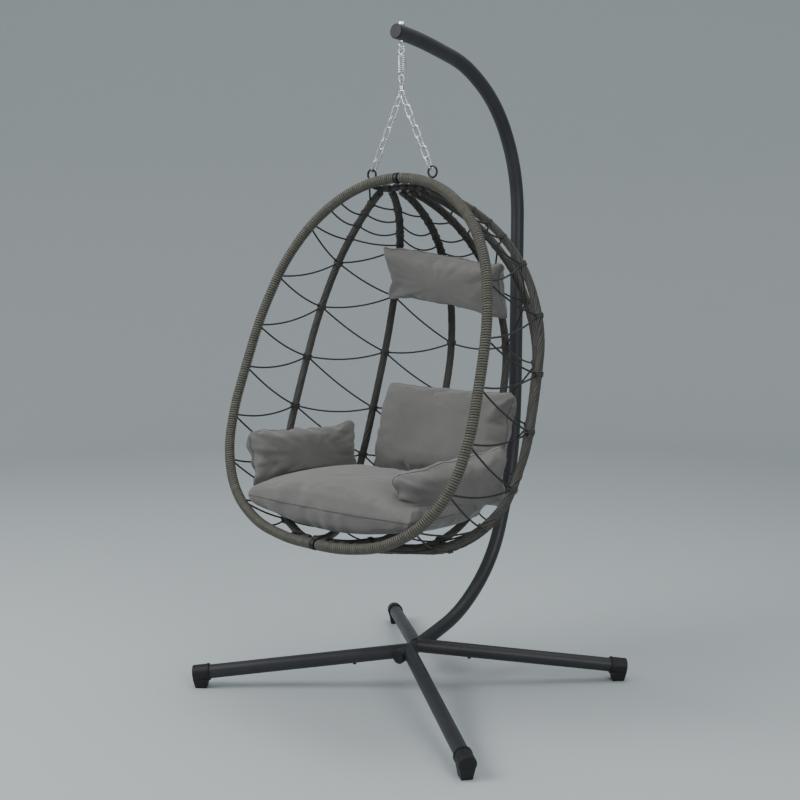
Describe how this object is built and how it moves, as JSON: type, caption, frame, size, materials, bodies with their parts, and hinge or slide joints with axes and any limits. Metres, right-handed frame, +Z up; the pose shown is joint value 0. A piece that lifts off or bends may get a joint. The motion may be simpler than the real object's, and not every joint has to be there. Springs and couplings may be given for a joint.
{
  "type": "hanging egg chair",
  "caption": "Hanging egg chair: wrapped and laced egg-shaped basket with loose cushions, on chains, spring and swivel from a swan-neck mast with splayed legs.",
  "frame": {"origin": "on the floor, under the middle of the chair's width and depth", "axes": "+Z up; the basket faces -Y; the mast stands behind it at +Y; +X is to the right of someone who looks at the front of the chair"},
  "size_m": [1.0632, 1.0019, 1.9557],
  "materials": {
    "powder_coat": "satin",
    "black_plastic": "matte",
    "black_steel": "satin",
    "zinc": "satin",
    "bare_core": "satin",
    "ring_rattan": "matte",
    "rib_rattan": "matte",
    "lacing_cord": "matte",
    "grey_fabric": "matte"
  },
  "bodies": {
    "stand": {"eye_bolt": "zinc", "eye_bolt_nut": "black_steel", "foot_front_left": "black_plastic", "foot_front_right": "black_plastic", "foot_rear_left": "black_plastic", "foot_rear_right": "black_plastic", "hub_end_cap": "black_plastic", "leg_bolts": "black_steel", "leg_front_left": "powder_coat", "leg_front_right": "powder_coat", "leg_nuts": "zinc", "leg_rear_left": "powder_coat", "leg_rear_right": "powder_coat", "mast_joint_bolts": "black_steel", "mast_lower": "powder_coat", "mast_tip_cap": "black_plastic", "mast_upper": "powder_coat"},
    "spring_hanger": {"spring": "zinc"},
    "swivel_top": {"swivel_barrel": "zinc"},
    "swivel_bottom": {"swivel_ring": "zinc"},
    "chain_pair": {"chain_left": "zinc", "chain_right": "zinc"},
    "basket": {"arm_cushion_left": "grey_fabric", "arm_cushion_right": "grey_fabric", "back_cushion": "grey_fabric", "crown_bar": "black_steel", "eyelet_left": "black_steel", "eyelet_right": "black_steel", "head_cushion": "grey_fabric", "keel_bar": "black_steel", "lacing_back": "lacing_cord", "lacing_inner_left": "lacing_cord", "lacing_inner_right": "lacing_cord", "lacing_middle_left": "lacing_cord", "lacing_middle_right": "lacing_cord", "lacing_outer_left": "lacing_cord", "lacing_outer_right": "lacing_cord", "rib_core_inner_left": "bare_core", "rib_core_inner_right": "bare_core", "rib_core_middle_left": "bare_core", "rib_core_middle_right": "bare_core", "rib_core_outer_left": "bare_core", "rib_core_outer_right": "bare_core", "rib_wrap_inner_left": "rib_rattan", "rib_wrap_inner_right": "rib_rattan", "rib_wrap_middle_left": "rib_rattan", "rib_wrap_middle_right": "rib_rattan", "rib_wrap_outer_left": "rib_rattan", "rib_wrap_outer_right": "rib_rattan", "ring_collar_bottom": "black_steel", "ring_collar_top": "black_steel", "ring_core_left": "bare_core", "ring_core_right": "bare_core", "ring_spigots": "bare_core", "ring_wrap_left": "ring_rattan", "ring_wrap_right": "ring_rattan", "seat_cushion": "grey_fabric"}
  },
  "joints": [
    {"name": "swing_fore_aft", "type": "hinge", "parent": "stand", "child": "spring_hanger", "pos_m": [0, -0.114, 1.884], "axis": [1, 0, 0], "range_deg": [-12, 6]},
    {"name": "spring_stretch", "type": "slide", "parent": "spring_hanger", "child": "swivel_top", "axis": [0, 0, -1], "range_m": [0, 0.03], "stiffness_N_per_m": 20000, "springref_m": -0.0176, "deforming": ["spring"]},
    {"name": "swivel", "type": "hinge", "parent": "swivel_top", "child": "swivel_bottom", "pos_m": [0, -0.114, 1.7714], "axis": [0, 0, 1], "continuous": true},
    {"name": "swing_sideways", "type": "hinge", "parent": "swivel_bottom", "child": "chain_pair", "pos_m": [0, -0.114, 1.7579], "axis": [0, 1, 0], "range_deg": [-12, 12]},
    {"name": "basket_tilt", "type": "hinge", "parent": "chain_pair", "child": "basket", "pos_m": [0, -0.114, 1.5477], "axis": [1, 0, 0], "range_deg": [-8, 6]}
  ]
}
